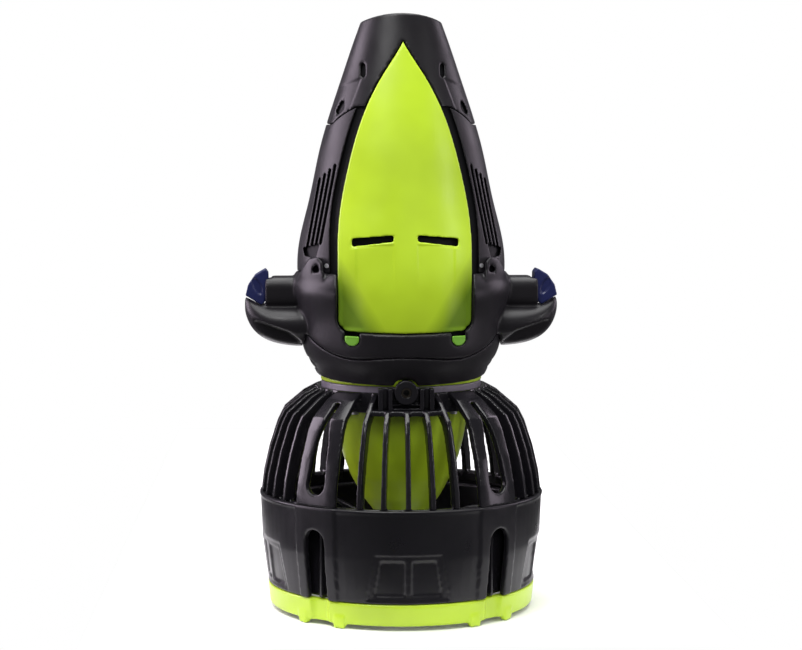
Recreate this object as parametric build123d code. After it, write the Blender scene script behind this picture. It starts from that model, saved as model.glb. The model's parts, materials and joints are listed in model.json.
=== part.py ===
from build123d import *
import math
import os

# Handheld underwater scooter, in millimetres. +Z runs along the propeller axis to the nose,
# the hood side faces -Y, and the origin is the centre of the plane that the feet stand on.

# ---- overall sizes ----
TOTAL_LENGTH = 618.0
HULL_HALF_WIDTH = 109.5
HULL_FRONT_DEPTH = 94.0
HULL_BACK_DEPTH = 96.0
DUCT_RADIUS = 148.5
BORE_RADIUS = 128.0

# ---- heights up the axis ----
FOOT_HEIGHT = 4.0
RING_TOP = 26.5
RIM_Z = 121.8
BAND_Z0 = 211.0
NECK_Z0 = 222.0
BAND_Z1 = 232.0
NECK_Z1 = 238.0
SHOULDER_Z0 = 245.0
SHOULDER_TOP = 352.0
NOSE_SEAM_Z = 505.0
NOSE_ARCH_RADIUS = 118.0

# ---- walls and clearances ----
SKIN = 3.0
HULL_GAP = 1.0
HULL_WALL = 3.5
HOOD_PROUD = 4.0
SEAM = 0.8
BODY_GAP = 0.5
SEAT_GAP = 0.3
RUNNING_GAP = 0.05
SHOULDER_PROUD = 9.0
CHIN_LIP = 6.0

# ---- hood outline ----
HOOD_TIP_Z = 588.0
HOOD_HALF_WIDTH = 68.0
HOOD_BOTTOM_Z = 294.0
HOOD_CORNER = 12.0
HOOD_STRIP = 8.0
HOOD_SLOT_Z = 388.0

# ---- guard cage ----
PILLARS = 5
FRONT_PILLAR_ANGLE = 39.0
SIDE_PILLAR_ANGLE = 111.0
PILLAR_SPAN = 19.0
PILLAR_WALL = 5.0
FINS_PER_FACE = 5
FIN_THICKNESS = 5.0
FIN_DEPTH = 13.0
BAND_RADIUS = 89.0
BAND_FLANGE = 5.0
NECK_RADIUS = 84.0
PILLAR_SLOT_WIDTH = 22.0
PILLAR_SLOT_Z = 133.0

# ---- duct ----
SHROUD_WALL = 5.5
LINER_WALL = 3.5
RING_WALL = 5.0
POCKET_DEPTH = 3.5
FOOT_WIDTH = 12.0

# ---- drive ----
SHAFT_RADIUS = 6.0
HUB_RADIUS = 24.0
HUB_Z0 = 50.0
HUB_Z1 = 90.0
BLADES = 3
TIP_GAP = 4.0
POD_WALL = 4.0
POD_Z0 = 92.0
BEARING_RADIUS = 13.0
BEARING_WIDTH = 8.0
POD_RADIUS = NECK_RADIUS - 13.0
MOTOR_RADIUS = POD_RADIUS * 0.535
ROTOR_RADIUS = MOTOR_RADIUS - 14.0
MOTOR_Z0 = 128.0
MOTOR_Z1 = 196.0
PLATE_THICKNESS = 5.0

# ---- grips and triggers ----
BAR_Z = 330.5
BAR_HEIGHT = 33.0
BAR_END = 142.0
GRIP_HOLLOW = 25.0
PIVOT_X = 130.0
PIVOT_Z = 327.0
PIN_RADIUS = 2.0
PIN_LENGTH = 30.0
TRIGGER_WIDTH = 26.0
TONGUE_WIDTH = 10.0

# ---- battery bay ----
BATTERY_SIZE = (104.0, 84.0, 150.0)
BATTERY_Z = 300.0

# ---- camera mount ----
MOUNT_Z = 234.0
MOUNT_FRONT = 104.0
BOSS_RADIUS = 12.0
INSERT_RADIUS = 5.0
MOUNT_HALF_WIDTH = 29.0
MOUNT_SHELF_SPAN = 42.0
THREAD_RADIUS = 3.175

LEFT = -1
RIGHT = 1
FAR = 400.0
HULL_SPAN = TOTAL_LENGTH - SHOULDER_Z0
SIDE_FACE_ANGLE = (FRONT_PILLAR_ANGLE + SIDE_PILLAR_ANGLE) / 2
BACK_FACE_ANGLE = (SIDE_PILLAR_ANGLE + 180.0) / 2
PILLAR_ANGLES = [-SIDE_PILLAR_ANGLE, -FRONT_PILLAR_ANGLE, FRONT_PILLAR_ANGLE, SIDE_PILLAR_ANGLE, 180.0]
FACE_ANGLES = [-BACK_FACE_ANGLE, -SIDE_FACE_ANGLE, 0.0, SIDE_FACE_ANGLE, BACK_FACE_ANGLE]

# hull stations: share of the height above the neck, then half width, front and back depth,
# each as a share of the hull's own largest
HULL_STATIONS = [
    (0.00, 0.80, 0.90, 0.88),
    (0.09, 0.93, 0.97, 0.95),
    (0.25, 0.985, 1.0, 1.0),
    (0.35, 0.985, 0.955, 0.96),
    (0.48, 0.885, 0.85, 0.86),
    (0.63, 0.775, 0.72, 0.73),
    (0.74, 0.665, 0.61, 0.62),
    (0.845, 0.545, 0.49, 0.51),
    (0.935, 0.44, 0.38, 0.40),
    (1.01, 0.35, 0.29, 0.31),
]

parts = {}


def turn(angle, shape):
    return Rot(0, 0, angle) * shape


def around(angles, shape):
    return [turn(a, shape) for a in angles]


def tube(radius, hole, z0, z1):
    ring = Circle(radius) - Circle(hole) if hole > 0 else Circle(radius)
    return extrude(Pos(0, 0, z0) * ring, amount=z1 - z0)


def slab(x0, x1, y0, y1, z0, z1):
    middle = Pos((x0 + x1) / 2, (y0 + y1) / 2, (z0 + z1) / 2)
    return middle * Box(x1 - x0, y1 - y0, z1 - z0)


def rod_y(x, z, radius, y0, y1):
    return Pos(x, y1, z) * extrude(Plane.XZ * Circle(radius), amount=y1 - y0)


def polygon(*points):
    return make_face(Polyline(*points, close=True))


def front_cut(outline, y0=0.0, depth=FAR):
    """An outline in X and Z, run forwards from y0 along -Y."""
    return Pos(0, y0, 0) * extrude(Plane.XZ * outline, amount=depth)


def spun(*radius_height):
    """A closed outline of radius and height, turned about the axis."""
    return revolve(Plane.XZ * polygon(*radius_height), Axis.Z)


def mirrored(outline):
    return outline + mirror(outline, Plane.YZ)


def half_ellipses(half_width, front, back, z):
    with BuildLine() as line:
        EllipticalCenterArc((0, 0), half_width, front, start_angle=180, arc_size=180)
        EllipticalCenterArc((0, 0), half_width, back, start_angle=0, arc_size=180)
    return Pos(0, 0, z) * make_face(line.line)


def hull(inset):
    """The hull's outer form, drawn in by the inset."""
    faces = []
    for share, width, front, back in HULL_STATIONS:
        faces.append(half_ellipses(
            HULL_HALF_WIDTH * width - inset,
            HULL_FRONT_DEPTH * front - inset,
            HULL_BACK_DEPTH * back - inset,
            SHOULDER_Z0 + HULL_SPAN * share,
        ))
    return loft(faces)


def layer(z0, z1):
    return slab(-FAR, FAR, -FAR, FAR, z0, z1)


def hood_outline(grow):
    """The hood's pointed arch, grown sideways and downwards."""
    width = HOOD_HALF_WIDTH + grow
    tip = HOOD_TIP_Z + 2 * grow
    bottom = HOOD_BOTTOM_Z - grow
    rise = tip - HOOD_BOTTOM_Z
    corner = HOOD_CORNER + grow
    side = bottom + corner
    edge = Spline(
        (0, tip),
        (0.29 * width, tip - 0.11 * rise),
        (0.58 * width, tip - 0.24 * rise),
        (0.88 * width, tip - 0.48 * rise),
        (width, tip - 0.72 * rise),
        tangents=[(0.5, -1), (0, -1)],
    )
    wall = Line(edge @ 1, (width, side))
    round_corner = RadiusArc((width, side), (width - corner, bottom), corner)
    base = Line((width - corner, bottom), (0, bottom - 1.5))
    close = Line((0, bottom - 1.5), (0, tip))
    return mirrored(make_face([edge, wall, round_corner, base, close]))


def nose_region():
    """Everything above the seam that runs down from the hood to the cheeks."""
    inner = NOSE_SEAM_Z + 17
    with BuildLine() as line:
        Polyline((0, inner), (0, FAR * 2), (FAR, FAR * 2), (FAR, NOSE_SEAM_Z),
                 (HULL_HALF_WIDTH * 0.66, NOSE_SEAM_Z))
        Spline((HULL_HALF_WIDTH * 0.66, NOSE_SEAM_Z), (HULL_HALF_WIDTH * 0.56, NOSE_SEAM_Z + 9),
               (HULL_HALF_WIDTH * 0.42, inner))
        Line((HULL_HALF_WIDTH * 0.42, inner), (0, inner))
    return mirrored(make_face(line.line))


def shoulder_form(inset):
    faces = []
    rows = ((-0.07, 0.80, 1.0), (0.05, 0.835, 1.35), (0.16, 0.90, 1.3), (0.32, 0.955, 1.1),
            (0.60, 0.995, 0.95), (1.0, 1.0, 0.3))
    for share, width, proud in rows:
        bulge = SHOULDER_PROUD * proud
        faces.append(half_ellipses(
            HULL_HALF_WIDTH * width - inset,
            HULL_FRONT_DEPTH * (0.2 + 0.8 * width) + bulge - inset,
            HULL_BACK_DEPTH * width + bulge * 0.6 - inset,
            SHOULDER_Z0 + (SHOULDER_TOP - SHOULDER_Z0) * share,
        ))
    return loft(faces)


def chin_region(drop=0.0):
    """Below the seam that rises from the front of the chin to the grips."""
    side = HULL_HALF_WIDTH * 0.97
    low = SHOULDER_Z0 + 23 - drop
    high = SHOULDER_Z0 + 60 - drop
    with BuildLine() as line:
        Spline((0, low), (side * 0.66, low + 1), (side * 0.85, low + 12), (side, high),
               tangents=[(1, 0), (0.35, 1)])
        Polyline((side, high), (FAR, high), (FAR, 0), (0, 0), (0, low))
    return mirrored(make_face(line.line))


# ---------------------------------------------------------------- hull and covers

def main_hull():
    outer = hull(SKIN + HULL_GAP) & layer(SHOULDER_Z0 + 5, TOTAL_LENGTH - 20)
    inner = hull(SKIN + HULL_GAP + HULL_WALL) & layer(0, TOTAL_LENGTH - 26)
    return outer - inner


def skin():
    return hull(0) - hull(SKIN)


def hood_panel():
    shell = hull(-HOOD_PROUD) - hull(SKIN - HOOD_PROUD)
    panel = shell & front_cut(hood_outline(0), y0=-8)
    slot = polygon((12, HOOD_SLOT_Z - 2), (12, HOOD_SLOT_Z + 3), (53, HOOD_SLOT_Z - 1),
                   (54, HOOD_SLOT_Z - 6), (51, HOOD_SLOT_Z - 6))
    return panel - front_cut(mirrored(slot), y0=-8)


def nose_arch():
    centre = TOTAL_LENGTH - NOSE_ARCH_RADIUS
    bar = extrude(Plane.XZ * Circle(NOSE_ARCH_RADIUS), amount=FAR, both=True)
    return Pos(0, 0, centre) * bar + layer(0, TOTAL_LENGTH - NOSE_ARCH_RADIUS / 2)


def nose_cap():
    cap = hull(0) & nose_arch()
    cap -= hull(SKIN) & layer(0, TOTAL_LENGTH - 18)
    above_seam = extrude(Plane.XZ * nose_region(), amount=FAR, both=True)
    cap &= above_seam + slab(-FAR, FAR, 0, FAR, NOSE_SEAM_Z, FAR * 2)
    cap -= front_cut(hood_outline(SEAM), y0=-6)
    vent = Pos(40.5, 559) * Rectangle(4, 15)
    corner = polygon((61, 534), (61, 519), (71, 511))
    return cap - front_cut(mirrored(vent + corner), y0=-2)


def cheek_cover(side):
    cover = skin() & slab(-FAR, FAR, -FAR, -SEAM / 2, SHOULDER_TOP + SEAM, FAR * 2)
    cover &= slab(0, FAR, -FAR, FAR, 0, FAR * 2)
    cover -= front_cut(nose_region_lowered(), y0=0)
    cover -= front_cut(hood_outline(HOOD_STRIP), y0=0)
    for index in range(4):
        top = (68 + 5.3 * index, 463 - 4.6 * index)
        foot = (84 + 4.6 * index, 381 - 2.2 * index)
        louvre = polygon(top, (top[0] + 2.4, top[1]), (foot[0] + 2.4, foot[1]), foot)
        cover -= front_cut(louvre, y0=-1)
    cover -= front_cut(polygon((86, 382), (103, 377), (101, 369), (90, 367)), y0=-1)
    return cover if side == RIGHT else mirror(cover, Plane.YZ)


def nose_region_lowered():
    return Pos(0, -SEAM) * nose_region()


def back_cover():
    cover = skin() & slab(-FAR, FAR, SEAM / 2, FAR, SHOULDER_TOP + SEAM, NOSE_SEAM_Z - SEAM)
    for z in (430.0, 455.0, 480.0):
        cover -= Pos(0, 0, z) * slab(-22, 22, 0, FAR, -2, 2)
    return cover


def shoulder_wall():
    form = shoulder_form(0) & layer(SHOULDER_Z0, SHOULDER_TOP)
    return form - hull(SKIN) - front_cut(hood_outline(SEAM), y0=-6)


def grip_lobe(side):
    """The palm guard and the bar of one grip, reaching out from the shoulder."""
    rows = ((92, 296, 24, 33), (118, 296.5, 22, 33), (139, 299.5, 20, 29), (153, 306, 17, 22),
            (160.5, 313, 12.5, 14), (163.5, 317, 6, 7))
    faces = []
    for x, z, half_height, half_depth in rows:
        plane = Plane((x, -6, z), x_dir=(0, 1, 0), z_dir=(1, 0, 0))
        faces.append(plane * Ellipse(half_depth, half_height))
    lobe = loft(faces)
    bar_plane = Plane((92, -6, BAR_Z), x_dir=(0, 1, 0), z_dir=(1, 0, 0))
    bar = extrude(bar_plane * RectangleRounded(42, BAR_HEIGHT, 12), amount=BAR_END - 92)
    grip = lobe + bar
    crease = polygon((149, 302), (118, 291), (106, 281), (100, 262), (165, 262), (165, 302))
    grip -= front_cut(crease, y0=-GRIP_HOLLOW)
    return grip if side == RIGHT else mirror(grip, Plane.YZ)


def horn(side):
    """The pointed lug that rises beside the cheek at the root of a grip."""
    top = SHOULDER_TOP
    outline = polygon((82, top - 10), (83, top + 12), (89, top + 17), (97, top + 15),
                      (104, top + 4), (110, top - 10))
    lug = extrude(Plane.XZ * outline, amount=FAR) & hull(-SHOULDER_PROUD + 2)
    lug -= hull(-SEAT_GAP)
    lug -= front_cut(polygon((86, top + 1), (88, top + 11), (96, top + 1)), y0=-10)
    return lug if side == RIGHT else mirror(lug, Plane.YZ)


def trigger_pocket(side):
    """The slot in the bar's end that takes the trigger's tongue, and the room above the guard."""
    half = TONGUE_WIDTH / 2 + BODY_GAP + 3
    slot = slab(PIVOT_X - 9, BAR_END + 1, -6 - half, -6 + half, PIVOT_Z - 9, PIVOT_Z + 12)
    half_paddle = TRIGGER_WIDTH / 2 + 1.5
    outline = polygon((135.4, 362), (135.4, 352), (136.8, 337), (142.0, 318.6), (146.4, 315.5),
                      (170, 329.5), (170, 362))
    room = Pos(0, -6 + half_paddle, 0) * extrude(Plane.XZ * outline, amount=2 * half_paddle)
    pocket = slot + room
    return pocket if side == RIGHT else mirror(pocket, Plane.YZ)


def pin_hole(side):
    x = side * PIVOT_X
    return rod_y(x, PIVOT_Z, PIN_RADIUS, -6 - PIN_LENGTH / 2, -6 + PIN_LENGTH / 2)


def tab_outline(grow):
    x = 54.0
    top = HOOD_BOTTOM_Z + 2.0 + grow
    half = 7.0 + grow
    shape = Pos(x, top - 7 - grow / 2) * Rectangle(2 * half, 9 + grow)
    shape += Pos(x, top - 9) * Circle(half)
    return mirrored(shape & (Pos(x, top - 50) * Rectangle(40, 100)))


def shoulder_shell():
    wall = shoulder_wall() & slab(-FAR, FAR, -FAR, -SEAM / 2, 0, FAR * 2)
    for side in (LEFT, RIGHT):
        wall += grip_lobe(side) - hull(SKIN)
    for side in (LEFT, RIGHT):
        wall += horn(side)
    wall -= extrude(Plane.XZ * chin_region(-SEAM), amount=FAR, both=True) & shoulder_form(-1)
    for side in (LEFT, RIGHT):
        wall -= trigger_pocket(side)
        wall -= pin_hole(side)
    wall -= hull(SKIN)
    return wall - front_cut(tab_outline(BODY_GAP), y0=-20)


def rear_saddle():
    wall = shoulder_wall() & slab(-FAR, FAR, SEAM / 2, FAR, 0, FAR * 2)
    wall -= extrude(Plane.XZ * chin_region(-SEAM), amount=FAR, both=True)
    for side in (LEFT, RIGHT):
        wall -= grip_lobe(side)
    return wall


def chin_lip():
    """The front of the chin, which hangs down over the neck ring."""
    lip = shoulder_form(0) - shoulder_form(SKIN + 1)
    slope = math.degrees(math.atan(CHIN_LIP / HULL_FRONT_DEPTH))
    below = Pos(0, 0, SHOULDER_Z0) * Rot(slope, 0, 0) * slab(-FAR, FAR, -FAR, FAR, -FAR, 0)
    lip &= slab(-FAR, FAR, -FAR, 0, 0, SHOULDER_Z0 + 2)
    return lip - below - tube(NECK_RADIUS + 1 + SEAT_GAP, 0, 0, SHOULDER_Z0)


def chin_shell():
    wall = shoulder_wall() & extrude(Plane.XZ * chin_region(0), amount=FAR, both=True)
    for side in (LEFT, RIGHT):
        wall -= grip_lobe(side) - shoulder_form(-1)
    base = shoulder_form(0) & layer(SHOULDER_Z0, SHOULDER_Z0 + 4)
    base -= tube(60, 0, 0, FAR)
    shell = wall + base + chin_lip()
    return shell - rod_y(0, MOUNT_Z, BOSS_RADIUS + 1.5, -FAR, -NECK_RADIUS)


def hood_tab(side):
    outer = shoulder_form(-1.0) & front_cut(tab_outline(0), y0=-20)
    outer -= front_cut(hood_outline(BODY_GAP), y0=-20)
    tab = outer - shoulder_form(4)
    tab &= slab(0, FAR, -FAR, 0, 0, FAR) if side == RIGHT else slab(-FAR, 0, -FAR, 0, 0, FAR)
    return tab


def hull_bulkhead():
    disc = hull(SKIN + HULL_GAP + HULL_WALL) & layer(SHOULDER_Z0 + 7, SHOULDER_Z0 + 13)
    groove = disc - hull(SKIN + HULL_GAP + HULL_WALL + 2)
    groove &= layer(SHOULDER_Z0 + 8.5, SHOULDER_Z0 + 11.5)
    return disc - groove - tube(8, 0, 0, FAR), groove


# ---------------------------------------------------------------- neck and camera mount

def neck_collar():
    collar = tube(NECK_RADIUS, NECK_RADIUS - 6, BAND_Z0 + BAND_FLANGE, NECK_Z1)
    collar += tube(NECK_RADIUS - 3, NECK_RADIUS - 34, NECK_Z0, NECK_Z0 + 4)
    groove = slab(-0.8, 0.8, -NECK_RADIUS - 1, -NECK_RADIUS + 1, NECK_Z0 - 1, NECK_Z1 + 1)
    for index in range(20):
        collar -= turn(18.0 * index + 9.0, groove)
    return collar


def neck_ring():
    return tube(NECK_RADIUS + 0.5, NECK_RADIUS - 22, NECK_Z1, SHOULDER_Z0)


def camera_mount():
    back = BAND_RADIUS - 1
    floor = BAND_Z0 + BAND_FLANGE
    top = SHOULDER_Z0 - CHIN_LIP - 1
    plate = slab(-24, 24, -back - 5, -back + 1.5, floor, top)
    for x in (-26, -16, 16, 26):
        plate += slab(x - 2, x + 2, -MOUNT_FRONT, -back, floor, top)
    for step in range(3):
        reach = MOUNT_FRONT - 2 - 4 * step
        plate += slab(-14, 14, -reach, -back, floor + 4 * step, floor + 4 * step + 2)
    plate += rod_y(0, MOUNT_Z, BOSS_RADIUS, -MOUNT_FRONT, -back)
    plate -= rod_y(0, MOUNT_Z, INSERT_RADIUS, -MOUNT_FRONT - 1, -back - 2)
    plate -= tube(BAND_RADIUS + SEAT_GAP, 0, 0, FAR)
    return plate


def camera_insert():
    body = rod_y(0, MOUNT_Z, INSERT_RADIUS, -MOUNT_FRONT, -BAND_RADIUS - 1)
    return body - rod_y(0, MOUNT_Z, THREAD_RADIUS, -MOUNT_FRONT - 1, -BAND_RADIUS)


# ---------------------------------------------------------------- guard cage and duct

def cage_profile(inset):
    """Points of the cage's outer line from its top band down to the rim, as radius and height."""
    span = BAND_Z1 - RIM_Z
    rim = DUCT_RADIUS - 1
    shares = ((0.0, 0.0), (0.07, 0.25), (0.225, 0.60), (0.33, 0.70), (0.57, 0.85), (0.81, 0.955),
              (1.0, 1.0))
    points = []
    for down, out in shares:
        points.append((BAND_RADIUS + (rim - BAND_RADIUS) * out - inset,
                       BAND_Z1 - inset * 0.6 - (span - inset * 0.6) * down))
    return points


def cage_wall(inset, outset=0.0):
    outer = cage_profile(-outset)
    inner = cage_profile(inset)
    return outer + inner[::-1]


def fin_angles():
    """The fins share the room between two pillars evenly."""
    angles = []
    for index in range(PILLARS):
        start = PILLAR_ANGLES[index - 1] - (360.0 if index == 0 else 0.0)
        step = (PILLAR_ANGLES[index] - start - PILLAR_SPAN) / (FINS_PER_FACE + 1)
        for fin in range(FINS_PER_FACE):
            angles.append(start + PILLAR_SPAN / 2 + step * (fin + 1))
    return angles


def cage_fin():
    points = [(-r, z) for r, z in cage_wall(FIN_DEPTH)]
    return extrude(Plane.YZ * polygon(*points), amount=FIN_THICKNESS / 2, both=True)


def cage_pillar():
    points = [(-r, z) for r, z in cage_wall(PILLAR_WALL, outset=1.5)]
    wall = revolve(Plane.YZ * polygon(*points), Axis.Z, revolution_arc=PILLAR_SPAN)
    wall = turn(-PILLAR_SPAN / 2, wall)
    half = PILLAR_SLOT_WIDTH / 2
    top = BAND_Z1 - 10
    waist = BAND_Z1 - 26
    slot = mirrored(polygon((0, PILLAR_SLOT_Z + half), (half, PILLAR_SLOT_Z + half),
                            (half * 0.7, waist - 20), (3.2, waist), (3.2, top), (0, top)))
    slot += Pos(0, PILLAR_SLOT_Z + half) * Circle(half)
    return wall - front_cut(slot, y0=-BAND_RADIUS - 0.5)


def guard_cage():
    cage = tube(BAND_RADIUS, NECK_RADIUS + SEAT_GAP, BAND_Z0, BAND_Z1)
    cage += tube(BAND_RADIUS, NECK_RADIUS - 12, BAND_Z0, BAND_Z0 + BAND_FLANGE)
    foot_radius = DUCT_RADIUS - SHROUD_WALL - 1.5
    cage += tube(foot_radius, foot_radius - 5, RIM_Z - 12, RIM_Z)
    for shape in around(PILLAR_ANGLES, cage_pillar()):
        cage += shape
    for shape in around(fin_angles(), cage_fin()):
        cage += shape
    cage -= tube(NECK_RADIUS + SEAT_GAP, 0, BAND_Z0 + BAND_FLANGE, FAR)
    room = slab(-MOUNT_HALF_WIDTH, MOUNT_HALF_WIDTH, -FAR, -NECK_RADIUS, BAND_Z0 + BAND_FLANGE, FAR)
    cage -= room - tube(BAND_RADIUS, 0, 0, FAR)
    shelf_profile = Plane.YZ * (Pos(-BAND_RADIUS - 10, BAND_Z0 + BAND_FLANGE / 2)
                                * Rectangle(26, BAND_FLANGE))
    shelf = revolve(shelf_profile, Axis.Z, revolution_arc=MOUNT_SHELF_SPAN)
    return cage + turn(-MOUNT_SHELF_SPAN / 2, shelf)


def duct_line(inset):
    """The shroud's outer line from the rim down to the outlet ring."""
    return [(DUCT_RADIUS - inset, RIM_Z), (DUCT_RADIUS - 2 - inset, 73.0),
            (DUCT_RADIUS - 7.5 - inset, RING_TOP)]


def arch_window(width, top, bottom):
    window = Pos(0, (top + bottom - width / 2) / 2) * Rectangle(width, top - bottom - width / 2)
    return window + Pos(0, top - width / 2) * Circle(width / 2)


def shroud_pocket(outline, depth):
    """What a pocket of that outline and depth takes out of the shroud's front face."""
    core = spun(*([(0, RIM_Z)] + duct_line(depth) + [(0, RING_TOP)]))
    return front_cut(outline, y0=-BORE_RADIUS) - core


def duct_shroud():
    wall = spun(*(duct_line(0) + duct_line(SHROUD_WALL)[::-1]))
    lip = spun((DUCT_RADIUS - 1, RIM_Z), (DUCT_RADIUS + 1, RIM_Z), (DUCT_RADIUS + 1, RIM_Z - 3),
               (DUCT_RADIUS - 1, RIM_Z - 5))
    wall += lip
    band = revolve(Plane.YZ * polygon(*[(-r, z) for r, z in duct_line(-2) + duct_line(1)[::-1]]),
                   Axis.Z, revolution_arc=PILLAR_SPAN)
    window = front_cut(arch_window(24, 98, 20), y0=-BORE_RADIUS)
    for angle in PILLAR_ANGLES:
        wall += turn(angle - PILLAR_SPAN / 2, band)
        wall -= turn(angle, window)
    frame = polygon((-35, 77), (35, 77), (42, 29), (-42, 29))
    panel = polygon((-28, 71), (-3, 71), (-3, 34), (-34, 34))
    pocket = shroud_pocket(frame, POCKET_DEPTH * 0.4)
    pocket += shroud_pocket(mirrored(panel), POCKET_DEPTH)
    for angle in FACE_ANGLES:
        wall -= turn(angle, pocket)
    return wall


def duct_liner():
    top = RIM_Z - 13
    liner = tube(BORE_RADIUS + LINER_WALL, BORE_RADIUS, RING_TOP + SEAT_GAP, top)
    seat = DUCT_RADIUS - SHROUD_WALL - 1
    liner += spun((BORE_RADIUS, top - 4), (BORE_RADIUS, top), (seat, top), (seat, top - 3),
                  (BORE_RADIUS + LINER_WALL, top - 8))
    rib = slab(-2.5, 2.5, -BORE_RADIUS - 10, -BORE_RADIUS - 1, RING_TOP + SEAT_GAP, 94)
    for shape in around(PILLAR_ANGLES, rib):
        liner += shape
    return liner


def outlet_ring():
    outer = DUCT_RADIUS - 7.5
    ring = spun((BORE_RADIUS, RING_TOP), (outer, RING_TOP), (outer - 2.5, FOOT_HEIGHT),
                (outer - 2.5 - RING_WALL, FOOT_HEIGHT), (outer - RING_WALL, RING_TOP - 4),
                (BORE_RADIUS, RING_TOP - 4))
    notch = Pos(0, -outer - 1, -1) * extrude(SlotOverall(24, 13), amount=RING_TOP + 2)
    foot = slab(-FOOT_WIDTH / 2, FOOT_WIDTH / 2, -outer + 0.5, -outer + 7, 0, FOOT_HEIGHT + 8)
    wrap = spun((BORE_RADIUS, RING_TOP), (outer - 7, RING_TOP), (outer - 7, FOOT_HEIGHT),
                (BORE_RADIUS, FOOT_HEIGHT))
    wedge = revolve(Plane.YZ * Pos(-outer + 8, (RING_TOP + FOOT_HEIGHT) / 2)
                    * Rectangle(6, RING_TOP - FOOT_HEIGHT), Axis.Z, revolution_arc=PILLAR_SPAN)
    for angle in PILLAR_ANGLES:
        ring += turn(angle - PILLAR_SPAN / 2, wedge)
        ring -= turn(angle, notch)
        for offset in (-PILLAR_SPAN / 2, PILLAR_SPAN / 2):
            ring += turn(angle + offset, foot)
    return ring & (wrap + spun((0, 0), (outer + 1, 0), (outer + 1, RING_TOP), (0, RING_TOP)))


# ---------------------------------------------------------------- drive

def pod_line(inset):
    shares = ((1.0, NECK_Z0), (0.986, 200.0), (0.93, 177.0), (0.859, 157.0), (0.76, 138.0),
              (0.577, 114.0), (0.394, 97.0))
    return [(POD_RADIUS * share - inset, z) for share, z in shares]


def motor_pod():
    tail = POD_RADIUS * 0.366
    outer = spun(*([(0, NECK_Z0)] + pod_line(0) + [(tail, POD_Z0), (0, POD_Z0)]))
    floor = POD_Z0 + 18
    cavity_line = [p for p in pod_line(POD_WALL) if p[1] > floor]
    cavity = spun(*([(0, NECK_Z0)] + cavity_line + [(tail, floor), (0, floor)]))
    pod = outer - cavity
    pod -= tube(BEARING_RADIUS, 0, floor - BEARING_WIDTH, floor)
    pod -= tube(BEARING_RADIUS - 2, 0, POD_Z0 + 2, floor - BEARING_WIDTH)
    return pod - tube(SHAFT_RADIUS + 1, 0, 0, FAR)


def bearing(z):
    return tube(BEARING_RADIUS, SHAFT_RADIUS + RUNNING_GAP, z, z + BEARING_WIDTH)


def shaft_seal():
    return tube(BEARING_RADIUS - 2, SHAFT_RADIUS + RUNNING_GAP, POD_Z0 + 3, POD_Z0 + 9)


def motor_can():
    can = tube(MOTOR_RADIUS, MOTOR_RADIUS - 3, MOTOR_Z0, MOTOR_Z1)
    can += tube(MOTOR_RADIUS - 2, 11, MOTOR_Z0, MOTOR_Z0 + 3)
    for index in range(9):
        tooth = slab(-3, 3, -MOTOR_RADIUS + 2, -ROTOR_RADIUS - 1, MOTOR_Z0 + 3, MOTOR_Z1)
        can += turn(40.0 * index, tooth)
    return can


def stator_coils():
    coils = []
    for index in range(9):
        block = slab(-6.5, 6.5, -ROTOR_RADIUS - 9, -ROTOR_RADIUS - 3, MOTOR_Z0 + 10, MOTOR_Z1 - 8)
        block -= slab(-3, 3, -MOTOR_RADIUS, 0, 0, FAR)
        coils.append(turn(40.0 * index, block))
    return Compound(children=[s for c in coils for s in c.solids()])


def motor_rotor():
    return tube(ROTOR_RADIUS, SHAFT_RADIUS, MOTOR_Z0 + 6, MOTOR_Z1 - 3)


def motor_plate():
    plate = tube(NECK_RADIUS - 20, BEARING_RADIUS, MOTOR_Z1, MOTOR_Z1 + PLATE_THICKNESS)
    plate += tube(BEARING_RADIUS + 4, BEARING_RADIUS, MOTOR_Z1, MOTOR_Z1 + BEARING_WIDTH + 2)
    for index in range(6):
        post = Pos(0, 28 - NECK_RADIUS, 0) * tube(4, 0, MOTOR_Z1 + 2, NECK_Z0)
        plate += turn(60.0 * index, post)
    return plate


def propeller_shaft():
    shaft = tube(SHAFT_RADIUS, 0, HUB_Z0 - 14, MOTOR_Z1 + BEARING_WIDTH + 1)
    return shaft - rod_y(0, HUB_Z1 - 8, 2, -20, 20)


def drive_pin():
    return rod_y(0, HUB_Z1 - 8, 2, -14, 14)


def blade():
    tip = BORE_RADIUS - TIP_GAP
    rows = ((HUB_RADIUS - 5, 34, 8, 52, 68), (HUB_RADIUS + 22, 50, 6, 44, 74),
            (tip * 0.72, 62, 4.5, 33, 82), (tip * 0.93, 54, 3, 27, 88), (tip - 0.5, 30, 2, 25, 91))
    faces = []
    for reach, chord, thickness, pitch, z in rows:
        lean = math.radians(pitch)
        plane = Plane((reach, 0, z), x_dir=(0, math.cos(lean), math.sin(lean)), z_dir=(1, 0, 0))
        faces.append(plane * Ellipse(chord / 2, thickness / 2))
    return loft(faces)


def propeller():
    hub = spun((0, HUB_Z1), (HUB_RADIUS, HUB_Z1), (HUB_RADIUS, HUB_Z0 + 12),
               (HUB_RADIUS - 6, HUB_Z0), (0, HUB_Z0))
    one = blade() & tube(BORE_RADIUS - TIP_GAP, 0, 0, FAR)
    for index in range(BLADES):
        hub += turn(360.0 / BLADES * index, one)
    hub -= tube(SHAFT_RADIUS, 0, 0, FAR)
    return hub - rod_y(0, HUB_Z1 - 8, 2, -14, 14)


def propeller_nut():
    hexagon = RegularPolygon(11, 6) - Circle(SHAFT_RADIUS)
    nut = extrude(Pos(0, 0, HUB_Z0 - 12) * hexagon, amount=9)
    return nut


def propeller_washer():
    return tube(14, SHAFT_RADIUS, HUB_Z0 - 3, HUB_Z0)


# ---------------------------------------------------------------- triggers

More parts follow.
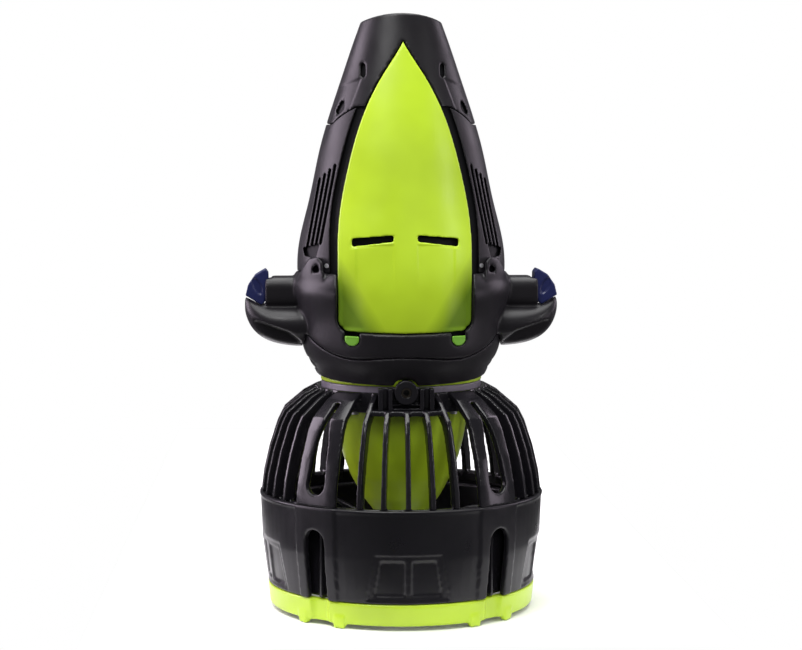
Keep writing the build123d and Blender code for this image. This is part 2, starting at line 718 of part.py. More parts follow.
def trigger(side):
    outline = polygon((142, 355), (139, 351), (138.6, 336), (143, 319.5), (146.5, 317.3),
                      (163, 327.2), (160.5, 338), (153, 348.5))
    paddle = Pos(0, -6 + TRIGGER_WIDTH / 2, 0) * extrude(Plane.XZ * outline, amount=TRIGGER_WIDTH)
    arm = polygon((PIVOT_X - 3, PIVOT_Z - 4.5), (PIVOT_X - 3, PIVOT_Z + 4.5), (141, 333),
                  (143, 321))
    tongue = extrude(Plane.XZ * arm, amount=TONGUE_WIDTH)
    tongue = Pos(0, -6 + TONGUE_WIDTH / 2, 0) * tongue
    half = TONGUE_WIDTH / 2
    eye = rod_y(PIVOT_X, PIVOT_Z, 5.5, -6 - half, -6 + half)
    body = paddle + tongue + eye
    body -= rod_y(PIVOT_X, PIVOT_Z, PIN_RADIUS + RUNNING_GAP, -FAR, FAR)
    body -= rod_y(148, 328, 3, -6 - 2, -6 + 2)
    return body if side == RIGHT else mirror(body, Plane.YZ)


def trigger_magnet(side):
    return rod_y(side * 148, 328, 3, -8, -4)


def trigger_spring(side):
    wire = 0.5
    radius = 4.2
    start = -6 + TONGUE_WIDTH / 2 + 0.8 + wire
    path = Helix(pitch=1.3, height=1.6, radius=radius)
    section = Plane(path @ 0, z_dir=path % 0) * Circle(wire)
    coil = sweep(section, path=path, is_frenet=True)
    coil = Pos(PIVOT_X, start, PIVOT_Z) * (Rot(-90, 0, 0) * coil)
    return coil if side == RIGHT else mirror(coil, Plane.YZ)


def trigger_sensors():
    room = hull(SKIN + HULL_GAP + HULL_WALL + SEAT_GAP)
    return [slab(side * 92 - 3, side * 92 + 3, -14, 2, PIVOT_Z - 8, PIVOT_Z + 8) & room
            for side in (LEFT, RIGHT)]


# ---------------------------------------------------------------- battery bay

def battery_pack():
    length, depth, height = BATTERY_SIZE
    pack = Pos(0, 0, BATTERY_Z + height / 2) * Box(length, depth, height)
    return fillet(pack.edges().filter_by(Axis.Z), 8)


def battery_cradle():
    length, depth, height = BATTERY_SIZE
    base = hull(SKIN + HULL_GAP + HULL_WALL + 2) & layer(BATTERY_Z - 8, BATTERY_Z)
    base -= slab(-30, 30, -25, 25, 0, FAR)
    for sx in (LEFT, RIGHT):
        for sy in (LEFT, RIGHT):
            x = sx * (length / 2 + 3.5)
            y = sy * depth / 4
            base += slab(x - 3, x + 3, y - 6, y + 6, BATTERY_Z - 1, BATTERY_Z + 90)
    return base


def battery_strap():
    length, depth, height = BATTERY_SIZE
    outer = RectangleRounded(length + 20, depth + 6, 12)
    inner = RectangleRounded(length + 14, depth + 0.2, 8)
    return extrude(Pos(0, 0, BATTERY_Z + 100) * (outer - inner), amount=24)


def battery_plug():
    top = BATTERY_Z + BATTERY_SIZE[2]
    return slab(-14, 14, -9, 9, top, top + 14)


def control_board():
    return slab(-50, 50, -36, 36, SHOULDER_Z0 + 19, SHOULDER_Z0 + 21)


def motor_driver():
    return slab(-26, 26, -20, 20, SHOULDER_Z0 + 21, SHOULDER_Z0 + 35)


def board_posts():
    posts = []
    for x in (-42, 42):
        for y in (-28, 28):
            posts.append(Pos(x, y, 0) * tube(3, 0, SHOULDER_Z0 + 13, SHOULDER_Z0 + 19))
    return posts


def cable_gland():
    gland = tube(8, 3.5, SHOULDER_Z0 + 2, SHOULDER_Z0 + 16)
    return gland + tube(12, 3.5, SHOULDER_Z0 + 13, SHOULDER_Z0 + 17)


def motor_lead():
    return tube(3.5, 0, MOTOR_Z1 + BEARING_WIDTH + 6, SHOULDER_Z0 + 18.5)


# ---------------------------------------------------------------- fasteners

def cheek_screws():
    heads = []
    for side in (LEFT, RIGHT):
        head = Plane.XZ * (Pos(side * 79, SHOULDER_TOP + 8) * Circle(2.2))
        rod = Pos(0, -20, 0) * extrude(head, amount=FAR)
        heads.append((rod & hull(-0.6)) - hull(0))
    return heads


def cage_screws():
    heads = []
    for angle in PILLAR_ANGLES:
        heads.append(turn(angle, Pos(0, 4 - NECK_RADIUS, 0) * tube(4, 0, BAND_Z0 - 3, BAND_Z0)))
    return heads


def saddle_screws():
    heads = []
    for x in (-50, 50):
        for z in (300, 335):
            rod = Plane.XZ * (Pos(x, z) * Circle(4))
            rod = extrude(rod, amount=-FAR)
            heads.append((rod & shoulder_form(-1.2)) - shoulder_form(0))
    return heads


def group(solids):
    flat = []
    for item in solids:
        flat.extend(item.solids())
    return Compound(children=flat)


def build_all():
    bulkhead, seal = hull_bulkhead()
    parts["main_hull"] = main_hull()
    parts["hood_panel"] = hood_panel()
    parts["nose_cap"] = nose_cap()
    parts["back_cover"] = back_cover()
    parts["shoulder_shell"] = shoulder_shell()
    parts["rear_saddle"] = rear_saddle()
    parts["chin_shell"] = chin_shell()
    parts["hull_bulkhead"] = bulkhead
    parts["hull_seal"] = seal
    parts["neck_collar"] = neck_collar()
    parts["neck_ring"] = neck_ring()
    parts["camera_mount"] = camera_mount()
    parts["camera_insert"] = camera_insert()
    parts["guard_cage"] = guard_cage()
    parts["duct_shroud"] = duct_shroud()
    parts["duct_liner"] = duct_liner()
    parts["outlet_ring"] = outlet_ring()
    parts["motor_pod"] = motor_pod()
    parts["upper_bearing"] = bearing(MOTOR_Z1)
    parts["lower_bearing"] = bearing(POD_Z0 + 10)
    parts["shaft_seal"] = shaft_seal()
    parts["motor_can"] = motor_can()
    parts["stator_coils"] = stator_coils()
    parts["motor_rotor"] = motor_rotor()
    parts["motor_plate"] = motor_plate()
    parts["propeller_shaft"] = propeller_shaft()
    parts["drive_pin"] = drive_pin()
    parts["propeller"] = propeller()
    parts["propeller_nut"] = propeller_nut()
    parts["propeller_washer"] = propeller_washer()
    parts["trigger_sensors"] = group(trigger_sensors())
    parts["battery_pack"] = battery_pack()
    parts["battery_cradle"] = battery_cradle()
    parts["battery_strap"] = battery_strap()
    parts["battery_plug"] = battery_plug()
    parts["control_board"] = control_board()
    parts["motor_driver"] = motor_driver()
    parts["board_posts"] = group(board_posts())
    parts["cable_gland"] = cable_gland()
    parts["motor_lead"] = motor_lead()
    parts["cheek_screws"] = group(cheek_screws())
    parts["cage_screws"] = group(cage_screws())
    parts["saddle_screws"] = group(saddle_screws())
    for side, name in ((LEFT, "left"), (RIGHT, "right")):
        parts[name + "_cheek_cover"] = cheek_cover(side)
        parts[name + "_hood_tab"] = hood_tab(side)
        parts[name + "_trigger"] = trigger(side)
        parts[name + "_trigger_pin"] = pin_hole(side)
        parts[name + "_trigger_magnet"] = trigger_magnet(side)
        parts[name + "_trigger_spring"] = trigger_spring(side)


build_all()
os.makedirs("parts", exist_ok=True)
for name, shape in parts.items():
    export_step(shape, "parts/" + name + ".step")
    print(name, len(shape.solids()), round(shape.volume))
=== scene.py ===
# %% [markdown]
# # An underwater scooter, standing on its outlet ring
# A handheld scooter that pulls a swimmer along. Its nose holds the battery, the grips carry two triggers,
# and a caged motor pod turns a propeller inside a duct. The engineering model comes in as a fixed frame:
# it says where every piece is, and how the triggers, tabs and propeller move.

# %% Load the frame
import json
import math
import bmesh
import bpy
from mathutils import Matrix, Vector


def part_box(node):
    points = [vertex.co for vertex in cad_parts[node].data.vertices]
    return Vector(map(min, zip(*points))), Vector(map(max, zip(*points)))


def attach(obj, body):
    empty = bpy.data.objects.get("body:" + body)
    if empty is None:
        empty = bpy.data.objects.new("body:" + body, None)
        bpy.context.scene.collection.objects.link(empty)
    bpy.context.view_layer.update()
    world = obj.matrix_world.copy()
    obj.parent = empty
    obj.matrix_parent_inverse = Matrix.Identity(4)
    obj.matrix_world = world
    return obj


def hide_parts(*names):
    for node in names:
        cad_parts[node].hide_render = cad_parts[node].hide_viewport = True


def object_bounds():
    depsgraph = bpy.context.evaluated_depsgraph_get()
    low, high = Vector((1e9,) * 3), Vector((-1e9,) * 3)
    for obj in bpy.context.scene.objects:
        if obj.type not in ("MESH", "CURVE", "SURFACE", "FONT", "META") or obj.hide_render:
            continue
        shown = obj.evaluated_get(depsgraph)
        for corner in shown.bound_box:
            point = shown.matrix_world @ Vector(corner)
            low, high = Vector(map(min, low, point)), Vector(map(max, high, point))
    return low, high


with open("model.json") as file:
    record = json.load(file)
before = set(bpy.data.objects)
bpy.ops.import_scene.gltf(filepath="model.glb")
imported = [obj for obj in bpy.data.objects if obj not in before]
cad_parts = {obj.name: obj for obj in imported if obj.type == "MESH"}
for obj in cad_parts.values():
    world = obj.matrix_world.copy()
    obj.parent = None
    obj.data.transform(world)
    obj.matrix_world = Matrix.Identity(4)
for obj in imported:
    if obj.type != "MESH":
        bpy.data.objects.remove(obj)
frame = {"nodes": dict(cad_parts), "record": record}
cad_low, cad_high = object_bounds()
MM = 0.001
height = cad_high.z - cad_low.z
nodes = frame["nodes"]
print("frame: %d nodes, %.0f mm tall" % (len(nodes), height / MM))

# %% [markdown]
# ## The camera
# The scooter is seen from the hood side, a hand's width to one side of straight on, from about two thirds
# of the way up. The camera stands about two metres away with a long lens, so the sides stay nearly parallel.
# It is aimed by tilting alone, with no lens shift.

# %% Camera
VIEW_DISTANCE = 2.033
VIEW_SIDE = math.radians(-3.0)
VIEW_HEIGHT = 0.451
AIM_HEIGHT = 0.2945

lens = bpy.data.cameras.new("view")
lens.lens = 86.9
lens.sensor_width = 36.0
lens.clip_end = 50.0
camera = bpy.data.objects.new("view", lens)
bpy.context.scene.collection.objects.link(camera)
camera.location = (math.sin(VIEW_SIDE) * VIEW_DISTANCE, -math.cos(VIEW_SIDE) * VIEW_DISTANCE, VIEW_HEIGHT)
aim = Vector((0.0, 0.0, AIM_HEIGHT)) - camera.location
camera.rotation_euler = aim.to_track_quat("-Z", "Y").to_euler()
bpy.context.scene.camera = camera
print("camera at", [round(v, 3) for v in camera.location])

# %% [markdown]
# ## The studio
# Glossy black plastic only shows its shape through what it mirrors. Tall soft lights stand at both sides,
# a little behind the scooter, so that their light grazes the flanks and leaves the front dark. A gentle lamp
# above the camera fills the lime surfaces, and the floor is plain and pale.

# %% Lights and floor
WHITE = (1.0, 1.0, 1.0)
COOL_LEFT = (0.98, 0.84, 1.0)


def softbox(name, place, aim_at, width, tall, power, tint=WHITE):
    """A rectangular lamp of that size in metres and power in watts."""
    lamp = bpy.data.lights.new(name, "AREA")
    lamp.shape = "RECTANGLE"
    lamp.size = width
    lamp.size_y = tall
    lamp.energy = power
    lamp.color = tint
    stand = bpy.data.objects.new(name, lamp)
    stand.location = place
    stand.rotation_euler = (Vector(aim_at) - Vector(place)).to_track_quat("-Z", "Y").to_euler()
    bpy.context.scene.collection.objects.link(stand)
    return stand


middle = (0.0, 0.0, height * 0.5)
softbox("left_strip", (-1.35, 0.30, 0.80), middle, 0.8, 1.4, 22.0, COOL_LEFT)
softbox("right_strip", (1.35, 0.60, 0.85), middle, 0.5, 1.2, 6.5, (0.98, 0.85, 1.0))
softbox("front_key", (-0.9, -1.5, 2.5), middle, 0.7, 0.7, 30.0)
softbox("top_light", (0.0, 0.2, 2.0), middle, 1.0, 1.0, 8.0)
shoulder_place = (-0.08, -0.06, height * 0.5)
softbox("left_low", (-1.25, -0.38, 0.24), shoulder_place, 0.5, 0.34, 1.3, COOL_LEFT)
softbox("right_low", (1.25, -0.34, 0.24), shoulder_place, 0.3, 0.42, 1.2, (0.98, 0.86, 1.0))
softbox("right_edge", (1.15, -0.95, 0.90), middle, 0.14, 0.7, 3.5)
fill = softbox("front_fill", (0.5, -2.2, 1.1), middle, 1.2, 0.8, 16.5)
fill.visible_glossy = False

sunlight = bpy.data.lights.new("floor_light", "SUN")
sunlight.energy = 3.1
sunlight.angle = math.radians(60.0)
sun = bpy.data.objects.new("floor_light", sunlight)
bpy.context.scene.collection.objects.link(sun)

world = bpy.data.worlds.new("studio")
bpy.context.scene.world = world
world.use_nodes = True
world_tree = world.node_tree
sky = world_tree.nodes["Background"]
sky.inputs["Color"].default_value = WHITE + (1.0,)
sky.inputs["Strength"].default_value = 0.11
backdrop = world_tree.nodes.new("ShaderNodeBackground")
backdrop.inputs["Color"].default_value = WHITE + (1.0,)
backdrop.inputs["Strength"].default_value = 1.0
seen = world_tree.nodes.new("ShaderNodeLightPath")
choose = world_tree.nodes.new("ShaderNodeMixShader")
world_tree.links.new(seen.outputs["Is Camera Ray"], choose.inputs["Fac"])
world_tree.links.new(sky.outputs["Background"], choose.inputs[1])
world_tree.links.new(backdrop.outputs["Background"], choose.inputs[2])
world_tree.links.new(choose.outputs["Shader"], world_tree.nodes["World Output"].inputs["Surface"])
bpy.context.scene.view_settings.view_transform = "Standard"

# The floor ends just before the scooter, so that the black front mirrors a dark room.
FLOOR_FRONT = 0.2
FLOOR_HALF_WIDTH = 0.32
FLOOR_HALF_DEPTH = 0.8
floor_mesh = bpy.data.meshes.new("floor")
bm = bmesh.new()
bmesh.ops.create_grid(bm, x_segments=1, y_segments=1, size=1.0)
bmesh.ops.scale(bm, vec=(FLOOR_HALF_WIDTH, FLOOR_HALF_DEPTH, 1.0), verts=bm.verts)
bmesh.ops.translate(bm, vec=(0.0, FLOOR_HALF_DEPTH - FLOOR_FRONT, -0.0005), verts=bm.verts)
bm.to_mesh(floor_mesh)
bm.free()
floor = bpy.data.objects.new("floor", floor_mesh)
bpy.context.scene.collection.objects.link(floor)
print("studio: eight softboxes, a wide sun and a floor")

# %% [markdown]
# ## Moulded plastic
# Nearly every outside surface is injection-moulded. One recipe makes them all: a base colour that drifts a
# little, a roughness that drifts too, a fine spark-eroded grain as bump, and paler rubbed edges where a hand
# or a boat's deck would wear them. Each finish only changes the numbers.

# %% Plastic recipe
def new_material(name):
    material = bpy.data.materials.new(name)
    material.use_nodes = True
    return material, material.node_tree, material.node_tree.nodes["Principled BSDF"]


def noise(tree, scale, detail, where):
    cloud = tree.nodes.new("ShaderNodeTexNoise")
    cloud.inputs["Scale"].default_value = scale
    cloud.inputs["Detail"].default_value = detail
    tree.links.new(where.outputs["Object"], cloud.inputs["Vector"])
    return cloud


def ranged(tree, source, low, high, from_low=0.3, from_high=0.7):
    step = tree.nodes.new("ShaderNodeMapRange")
    step.inputs["From Min"].default_value = from_low
    step.inputs["From Max"].default_value = from_high
    step.inputs["To Min"].default_value = low
    step.inputs["To Max"].default_value = high
    tree.links.new(source, step.inputs["Value"])
    return step.outputs["Result"]


def mixed(tree, factor, first, second):
    mix = tree.nodes.new("ShaderNodeMix")
    mix.data_type = "RGBA"
    tree.links.new(factor, mix.inputs["Factor"])
    for socket, value in ((mix.inputs[6], first), (mix.inputs[7], second)):
        if isinstance(value, tuple):
            socket.default_value = value + (1.0,)
        else:
            tree.links.new(value, socket)
    return mix.outputs[2]


def plastic(name, colour, roughness, grain=0.25, grain_size=0.5, wear=0.3, coat=0.0, sheen=None,
            specular=0.5):
    """Grain size is in millimetres. Wear is how far rubbed edges go towards a paler colour."""
    material, tree, shader = new_material(name)
    where = tree.nodes.new("ShaderNodeTexCoord")
    deep = tuple(c * 0.82 for c in colour)
    pale = tuple(min(1.0, c * 1.12 + 0.002) for c in colour)
    drift = ranged(tree, noise(tree, 9.0, 3.0, where).outputs["Fac"], 0.0, 1.0)
    body = mixed(tree, drift, deep, pale)
    edge = tree.nodes.new("ShaderNodeNewGeometry")
    rubbed = ranged(tree, edge.outputs["Pointiness"], 0.0, wear, 0.53, 0.62)
    worn = tuple(min(1.0, c * 1.5 + 0.05) for c in colour)
    tree.links.new(mixed(tree, rubbed, body, worn), shader.inputs["Base Color"])
    smear = ranged(tree, noise(tree, 32.0, 4.0, where).outputs["Fac"], roughness - 0.05, roughness + 0.07)
    tree.links.new(smear, shader.inputs["Roughness"])
    texture = noise(tree, 1.0 / (grain_size * MM), 2.0, where)
    bump = tree.nodes.new("ShaderNodeBump")
    bump.inputs["Strength"].default_value = grain
    bump.inputs["Distance"].default_value = 0.0002
    tree.links.new(texture.outputs["Fac"], bump.inputs["Height"])
    tree.links.new(bump.outputs["Normal"], shader.inputs["Normal"])
    shader.inputs["Specular IOR Level"].default_value = specular
    shader.inputs["Coat Weight"].default_value = coat
    shader.inputs["Coat Roughness"].default_value = 0.18
    if sheen:
        shader.inputs["Sheen Weight"].default_value = sheen
        shader.inputs["Sheen Tint"].default_value = (0.9, 0.82, 1.0, 1.0)
        shader.inputs["Sheen Roughness"].default_value = 0.4
    return material


# %% [markdown]
# ### Painted shade in the hood's corners
# The hood's two lower corners are scooped and stay in shade. Shade is also painted into them: the colour
# deepens and the reflection dulls towards them.

# %% Painted corner shade
def paint_corner_shade(material, foot, lean, start, end, deep):
    """Painted shade in a panel's lower corners: a darker colour and a duller reflection. Lean is how far
    inwards they start per millimetre down.
    """
    tree = material.node_tree
    colour = tree.nodes["Principled BSDF"].inputs["Base Color"]
    where = tree.nodes.new("ShaderNodeTexCoord")
    parts = tree.nodes.new("ShaderNodeSeparateXYZ")
    tree.links.new(where.outputs["Object"], parts.inputs["Vector"])
    out = tree.nodes.new("ShaderNodeMath")
    out.operation = "ABSOLUTE"
    tree.links.new(parts.outputs["X"], out.inputs[0])
    slant = tree.nodes.new("ShaderNodeMath")
    slant.operation = "MULTIPLY_ADD"
    slant.inputs[1].default_value = -lean
    tree.links.new(parts.outputs["Z"], slant.inputs[0])
    tree.links.new(out.outputs["Value"], slant.inputs[2])
    lowest, highest = (start - lean * foot) * MM, (end - lean * foot) * MM
    painted_shade_mask = ranged(tree, slant.outputs["Value"], 0.0, 1.0, lowest, highest)
    # Painted shade: the colour darkens towards the corners, and their reflection is turned down there.
    tree.links.new(mixed(tree, painted_shade_mask, colour.links[0].from_socket, deep), colour)
    shaded_specular = ranged(tree, painted_shade_mask, 0.45, 0.08, 0.0, 1.0)
    tree.links.new(shaded_specular, tree.nodes["Principled BSDF"].inputs["Specular IOR Level"])


# %% [markdown]
# ### The plastics themselves
# Two limes, the hood's with painted shade in its corners, and a darker one for the tabs, four blacks from
# satin to gloss, and the rest.

# %% Plastics
LIME_COLOUR = (0.46, 0.66, 0.022)
GUARD_COLOUR = (0.0065, 0.006, 0.008)
LIME = plastic("lime_plastic", LIME_COLOUR, 0.34, grain=0.06, grain_size=0.9, wear=0.25, coat=0.2)
# The hood's lime is the same lime with painted shade: its lower corners darken towards a deep green and their
# reflection dulls.
HOOD_LIME_PAINTED_SHADE = plastic("hood_plastic_painted_shade", LIME_COLOUR, 0.34, grain=0.06, grain_size=0.9, wear=0.25)
paint_corner_shade(HOOD_LIME_PAINTED_SHADE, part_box("hood_panel")[0].z / MM, 0.62, 17.0, 40.0, (0.13, 0.22, 0.016))
TAB_LIME = plastic("tab_plastic", (0.16, 0.40, 0.03), 0.4, grain=0.06, grain_size=0.9, wear=0.3)
SHELL = plastic("shell_plastic", (0.0085, 0.0075, 0.0095), 0.36, grain=0.3, grain_size=0.45, wear=0.3,
                sheen=0.04, specular=0.32)
HULL = plastic("hull_plastic", (0.005, 0.005, 0.006), 0.5, grain=0.3, wear=0.1, specular=0.12)
CAGE = plastic("cage_plastic", GUARD_COLOUR, 0.19, grain=0.07, grain_size=0.8, wear=0.02,
               specular=0.42)
DUCT = plastic("duct_plastic", GUARD_COLOUR, 0.32, grain=0.12, grain_size=0.7, wear=0.0, specular=0.34)
COLLAR = plastic("collar_plastic", (0.145, 0.128, 0.16), 0.42, grain=0.3)
NAVY = plastic("navy_plastic", (0.010, 0.014, 0.075), 0.36, grain=0.25, wear=0.4)
BLADE = plastic("blade_plastic", (0.012, 0.012, 0.015), 0.3, grain=0.15, coat=0.1)
INNER = plastic("inner_plastic", (0.07, 0.07, 0.075), 0.55)
BATTERY = plastic("battery_case", (0.05, 0.05, 0.055), 0.5)
PLASTICS = (LIME, HOOD_LIME_PAINTED_SHADE, TAB_LIME, SHELL, HULL, CAGE, DUCT, COLLAR, NAVY, BLADE, INNER, BATTERY)
print("plastics:", [m.name for m in PLASTICS])

# %% [markdown]
# ## Metals, rubber and the rest
# Screws, the shaft and the motor are bare metal, turned or brushed, so their recipe stretches a noise along
# the turning direction and lets it drive the roughness. Rubber is the plastic recipe with no gloss.

# %% Other finishes
def metal(name, colour, roughness, stretch=(40.0, 40.0, 900.0)):
    material, tree, shader = new_material(name)
    where = tree.nodes.new("ShaderNodeTexCoord")
    turned = tree.nodes.new("ShaderNodeMapping")
    turned.inputs["Scale"].default_value = stretch
    tree.links.new(where.outputs["Object"], turned.inputs["Vector"])
    lines = tree.nodes.new("ShaderNodeTexNoise")
    lines.inputs["Scale"].default_value = 1.0
    lines.inputs["Detail"].default_value = 3.0
    tree.links.new(turned.outputs["Vector"], lines.inputs["Vector"])
    brushed = ranged(tree, lines.outputs["Fac"], roughness - 0.08, roughness + 0.1)
    tree.links.new(brushed, shader.inputs["Roughness"])
    dark = tuple(c * 0.8 for c in colour)
    shade = ranged(tree, lines.outputs["Fac"], 0.0, 1.0)
    tree.links.new(mixed(tree, shade, dark, colour), shader.inputs["Base Color"])
    shader.inputs["Metallic"].default_value = 1.0
    return material


STEEL = metal("bright_steel", (0.66, 0.66, 0.68), 0.24)
ALUMINIUM = metal("machined_aluminium", (0.75, 0.75, 0.77), 0.34)
IRON = metal("rotor_iron", (0.22, 0.22, 0.23), 0.45)
COPPER = metal("coil_copper", (0.75, 0.34, 0.16), 0.35)
BRASS = metal("blackened_brass", (0.07, 0.06, 0.05), 0.45)
NICKEL = metal("nickel_screws", (0.95, 0.95, 0.97), 0.5)
RUBBER = plastic("seal_rubber", (0.012, 0.012, 0.012), 0.72, grain=0.4, wear=0.1)
WEBBING = plastic("strap_webbing", (0.02, 0.02, 0.022), 0.8, grain=0.9, grain_size=1.4, wear=0.0)
BOARD = plastic("board_mask", (0.02, 0.13, 0.05), 0.3, grain=0.1, wear=0.0)
PALE_FLOOR, _, floor_shader = new_material("pale_floor")
floor_shader.inputs["Base Color"].default_value = (0.9, 0.9, 0.9, 1.0)
floor_shader.inputs["Roughness"].default_value = 0.8
floor_shader.inputs["Specular IOR Level"].default_value = 0.1
floor.data.materials.append(PALE_FLOOR)

FINISH_OF_SLOT = {
    "black_shell": SHELL, "hull_body": HULL, "lime_shell": LIME, "grey_plastic": COLLAR,
    "guard_black": CAGE, "propeller_black": BLADE, "navy_plastic": NAVY, "steel": STEEL,
    "screw_steel": NICKEL, "brass": BRASS, "aluminium": ALUMINIUM, "iron": IRON, "copper": COPPER,
    "rubber": RUBBER, "battery_case": BATTERY, "webbing": WEBBING, "inner_plastic": INNER,
    "board_green": BOARD,
}
slot_of_node = {row["node"]: row["material_slot"] for row in frame["record"]["subparts"]}
body_of_node = {}
for body, members in frame["record"]["behaviour"]["bodies"].items():
    for member in members:
        body_of_node[member] = body
for name, obj in nodes.items():
    obj.data.materials.clear()
    obj.data.materials.append(FINISH_OF_SLOT[slot_of_node[name]])
print("finishes on", len(nodes), "frame nodes")

# %% [markdown]
# ## Moulded pieces from the frame's shapes
# An injection-moulded part has no knife edges: every corner carries a small radius, which is what catches
# the light. The frame's shapes are exact but sharp. So each outer moulding starts from a merged copy of its
# node, gets an even skin by voxel remeshing at a millimetre or two, and is smoothed a few times, which rounds
# all its corners at once, also where surfaces cross. A bevel would need clean edge loops that a cut shell
# doesn't have.

# %% Remeshed copy of a node
def merged_copy(node):
    """A bmesh of the node's solid, with its loose triangles joined up."""
    bm = bmesh.new()
    bm.from_mesh(nodes[node].data)
    bmesh.ops.remove_doubles(bm, verts=bm.verts, dist=1e-6)
    return bm


def to_piece(bm, name, finish):
    mesh = bpy.data.meshes.new(name)
    bm.to_mesh(mesh)
    bm.free()
    mesh.materials.append(finish)
    piece = bpy.data.objects.new(name, mesh)
    bpy.context.scene.collection.objects.link(piece)
    return piece


def baked(piece):
    """The piece with its modifiers made real."""
    depsgraph = bpy.context.evaluated_depsgraph_get()
    mesh = bpy.data.meshes.new_from_object(piece.evaluated_get(depsgraph))
    old = piece.data
    piece.modifiers.clear()
    piece.data = mesh
    bpy.data.meshes.remove(old)
    mesh.name = piece.name
    return piece


def place(piece, node, *more_nodes):
    """The piece rides where its node does and stands for it."""
    for polygon in piece.data.polygons:
        polygon.use_smooth = True
    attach(piece, body_of_node[node])
    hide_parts(node, *more_nodes)
    return piece


def moulded(node, voxel, rounds, finish=None, thin=None):
    """A node's moulding with soft corners. The voxel is in millimetres. Thin is the share of faces kept."""
    finish = finish or FINISH_OF_SLOT[slot_of_node[node]]
    piece = to_piece(merged_copy(node), node + "_moulding", finish)
    skin = piece.modifiers.new("skin", "REMESH")
    skin.mode = "VOXEL"
    skin.voxel_size = voxel * MM
    skin.use_smooth_shade = True
    ease = piece.modifiers.new("ease", "SMOOTH")
    ease.factor = 0.5
    ease.iterations = rounds
    if thin:
        fewer = piece.modifiers.new("fewer", "DECIMATE")
        fewer.ratio = thin
    baked(piece)
    place(piece, node)
    print("%s: %d faces" % (piece.name, len(piece.data.polygons)))
    return piece


# %% [markdown]
# ### Crumbs
# Where a wall thins out to less than a voxel, remeshing leaves loose crumbs. They are found as small islands
# of joined faces and deleted.

# %% Crumb removal
def drop_specks(piece, least=1000):
    """Deletes the loose crumbs that remeshing leaves where a wall thins out."""
    bm = bmesh.new()
    bm.from_mesh(piece.data)
    seen = set()
    crumbs = []
    for start in bm.faces:
        if start in seen:
            continue
        seen.add(start)
        island = [start]
        for face in island:
            for edge in face.edges:
                for other in edge.link_faces:
                    if other not in seen:
                        seen.add(other)
                        island.append(other)
        if len(island) < least:
            crumbs += island
    bmesh.ops.delete(bm, geom=crumbs, context="FACES")
    bm.to_mesh(piece.data)
    bm.free()
    print("%s: %d crumb faces dropped" % (piece.name, len(crumbs)))


# %% [markdown]
# ## The shells
# Hood, nose, cheeks, back, shoulder and chin are the hull's outer skin. Larger covers take a coarser skin,
# and the cheeks a fine one, because their louvres are barely wider than two millimetres.

# %% Shell mouldings
hood = moulded("hood_panel", 1.3, 4, HOOD_LIME_PAINTED_SHADE)
nose = moulded("nose_cap", 1.5, 4)
moulded("shoulder_shell", 1.4, 10, thin=0.6)
drop_specks(moulded("chin_shell", 0.85, 14, thin=0.22))
moulded("rear_saddle", 1.9, 5)
moulded("back_cover", 1.6, 4)
triggers = {}
tabs = []
for side in ("left", "right"):
    moulded(side + "_cheek_cover", 0.7, 4, thin=0.6)
    tabs.append(moulded(side + "_hood_tab", 0.7, 3, TAB_LIME))
    triggers[side + "_trigger"] = moulded(side + "_trigger", 0.8, 4)

# %% [markdown]
# ## Sculpted forms
# Some shapes are too soft for a solid model: a shallow panel that fades out, or a scoop pressed into a corner.
# They are sculpted on the finished skin, by moving its vertices a few millimetres with a smooth rule. Both
# sides of a wall move together, so the wall keeps its thickness. A boolean would leave a hard rim instead.

# %% Sculpting helpers
def ramp(value, low, high):
    """0 below low, 1 above high, eased in between."""
    share = min(1.0, max(0.0, (value - low) / (high - low)))
    return share * share * (3.0 - 2.0 * share)


def sculpt(piece, rule):
    """Moves each vertex by the millimetres that the rule gives for its place in millimetres."""
    for vertex in piece.data.vertices:
        vertex.co += Vector(rule(*(vertex.co / MM))) * MM
    piece.data.update()


def inward(x, y, depth, flat=0.8):
    """A push of that depth towards the hull's middle line, mostly backwards."""
    side = math.copysign(math.sqrt(1.0 - flat * flat), x)
    return (-side * depth, flat * depth if y < 0 else -flat * depth, 0.0)


# %% [markdown]
# ### The hood's panels and scooped corners
# Below each slot a shallow panel runs down and fades out, where a hand slides in to lift the hood. The two
# lower corners are scooped, with a narrow rim left standing, so that they fall into shade. Each slot is opened
# a little wider towards its outer end, because rounding had narrowed it.

# %% Hood sculpting
hood_low, hood_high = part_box("hood_panel")
HOOD_FOOT = hood_low.z / MM
HOOD_SIDE = hood_high.x / MM
SLOT_FOOT = HOOD_FOOT + 89.0
PANEL_DEPTH = 0.8
CORNER_DEPTH = 3.2
BELLY_DEPTH = 1.0
SLOT_LEAN = 0.09


def hood_rule(x, y, z):
    out = abs(x)
    panel = ramp(out, 11.5, 13.0) * ramp(51.0 - out, 0.0, 2.0)
    panel *= ramp(SLOT_FOOT + 2.0 - z, 0.0, 2.0) * ramp(z, SLOT_FOOT - 52.0, SLOT_FOOT - 12.0)
    corner = ramp(out, HOOD_SIDE - 34.0, HOOD_SIDE - 8.0) * ramp(HOOD_FOOT + 72.0 - z, 0.0, 45.0)
    corner *= ramp(HOOD_SIDE - 0.5 - out, 0.0, 3.5) * ramp(z - HOOD_FOOT - 1.5, 0.0, 5.0)
    belly = ramp(HOOD_FOOT + 60.0 - z, 0.0, 60.0)
    centre = SLOT_FOOT + 6.5 - SLOT_LEAN * out
    near = ramp(out, 9.0, 11.5) * ramp(57.0 - out, 0.0, 2.0) * ramp(6.0 - abs(z - centre), 0.0, 3.0)
    wider = math.copysign((0.5 + 0.02 * out) * near, z - centre)
    push = inward(x, y, PANEL_DEPTH * panel + CORNER_DEPTH * corner + BELLY_DEPTH * belly, 0.9)
    return (push[0], push[1], wider)


sculpt(hood, hood_rule)
print("hood panels and corners from", round(HOOD_FOOT), "mm up")

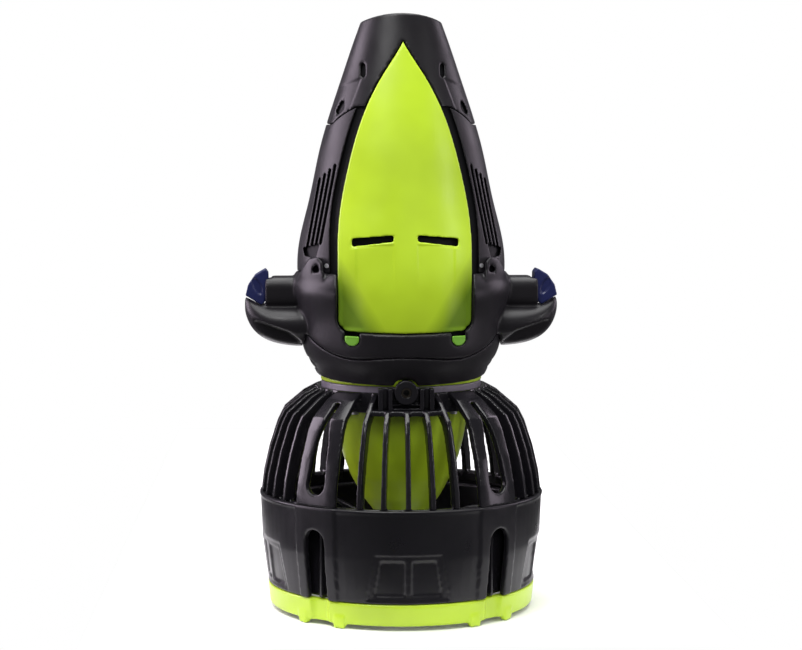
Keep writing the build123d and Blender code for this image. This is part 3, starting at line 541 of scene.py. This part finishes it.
# %% [markdown]
# ### The slit over each hood tab
# A tab's top stands a few millimetres below the hood's edge, so that a dark slit parts the two.

# %% Tab sculpting
SLIT = 3.8


def tab_rule(x, y, z):
    return (0.0, 0.0, -SLIT * ramp(z, HOOD_FOOT - 8.0, HOOD_FOOT + 2.0))


for tab in tabs:
    sculpt(tab, tab_rule)

# %% [markdown]
# ### The nose's side recesses
# Each side of the nose has a recess that the cheek's tip points into. Its inner edge slants outwards going
# down, beside the hood, and its top edge slants down towards the outside.

# %% Nose sculpting
NOSE_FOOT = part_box("nose_cap")[0].z / MM
RECESS_DEPTH = 0.9


def nose_rule(x, y, z):
    out = abs(x)
    slant = 51.0 - 0.38 * (z - NOSE_FOOT - 22.0)
    recess = ramp(out, slant, slant + 1.6) * ramp(NOSE_FOOT + 54.0 - 0.35 * out + 8.0 - z, 0.0, 2.0)
    return inward(x, y, RECESS_DEPTH * recess * ramp(-y, 4.0, 8.0), 0.6)


sculpt(nose, nose_rule)

# %% [markdown]
# ### The triggers' finger scoops
# A finger rests across each trigger, so its outer face is hollowed along the middle and full at both ends.
# Each end face is dished too, which leaves a thin rim around it.

# %% Trigger sculpting
SCOOP_DEPTH = 2.2
DISH_DEPTH = 1.6
for name, lever in triggers.items():
    low, high = (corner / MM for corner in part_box(name))
    centre = (low.y + high.y) / 2
    half = (high.y - low.y) / 2
    tip = high.x if high.x > 0 else -low.x

    def scoop(x, y, z):
        across = 1.0 - ((y - centre) / half) ** 2
        outside = SCOOP_DEPTH * across * ramp(abs(x), tip - 14.0, tip - 4.0)
        along, over = abs(x) - tip + 12.5, z - high.z + 18.0
        minor, major = along * 0.9 - over * 0.42, along * 0.42 + over * 0.9
        dish = 1.0 - ramp(minor ** 2 / 20.0 + major ** 2 / 110.0, 0.55, 1.0)
        dish *= DISH_DEPTH * ramp(abs(y - centre), half - 1.5, half - 0.5)
        return (-math.copysign(outside, x), -math.copysign(dish, y - centre), 0.0)

    sculpt(lever, scoop)
print("scooped:", sorted(triggers))

# %% [markdown]
# ## The thruster end
# The guard cage is one moulding of five split pillars and twenty-five fins. Its fins are glossy and their
# front edges are fully round, so the skin there is fine enough for three facets across a fin. The duct, its
# liner, the outlet ring and the pod follow. The duct is smoothed the most, so that its shallow recesses read
# as soft steps.

# %% Thruster mouldings
moulded("guard_cage", 1.0, 6, thin=0.22)
moulded("duct_shroud", 1.1, 16, DUCT, thin=0.42)
moulded("duct_liner", 1.9, 3)
moulded("outlet_ring", 1.6, 4)
moulded("motor_pod", 1.8, 3)
drop_specks(moulded("propeller", 1.1, 4))
moulded("camera_mount", 0.8, 2)
moulded("neck_collar", 1.2, 2)
moulded("neck_ring", 1.2, 2)
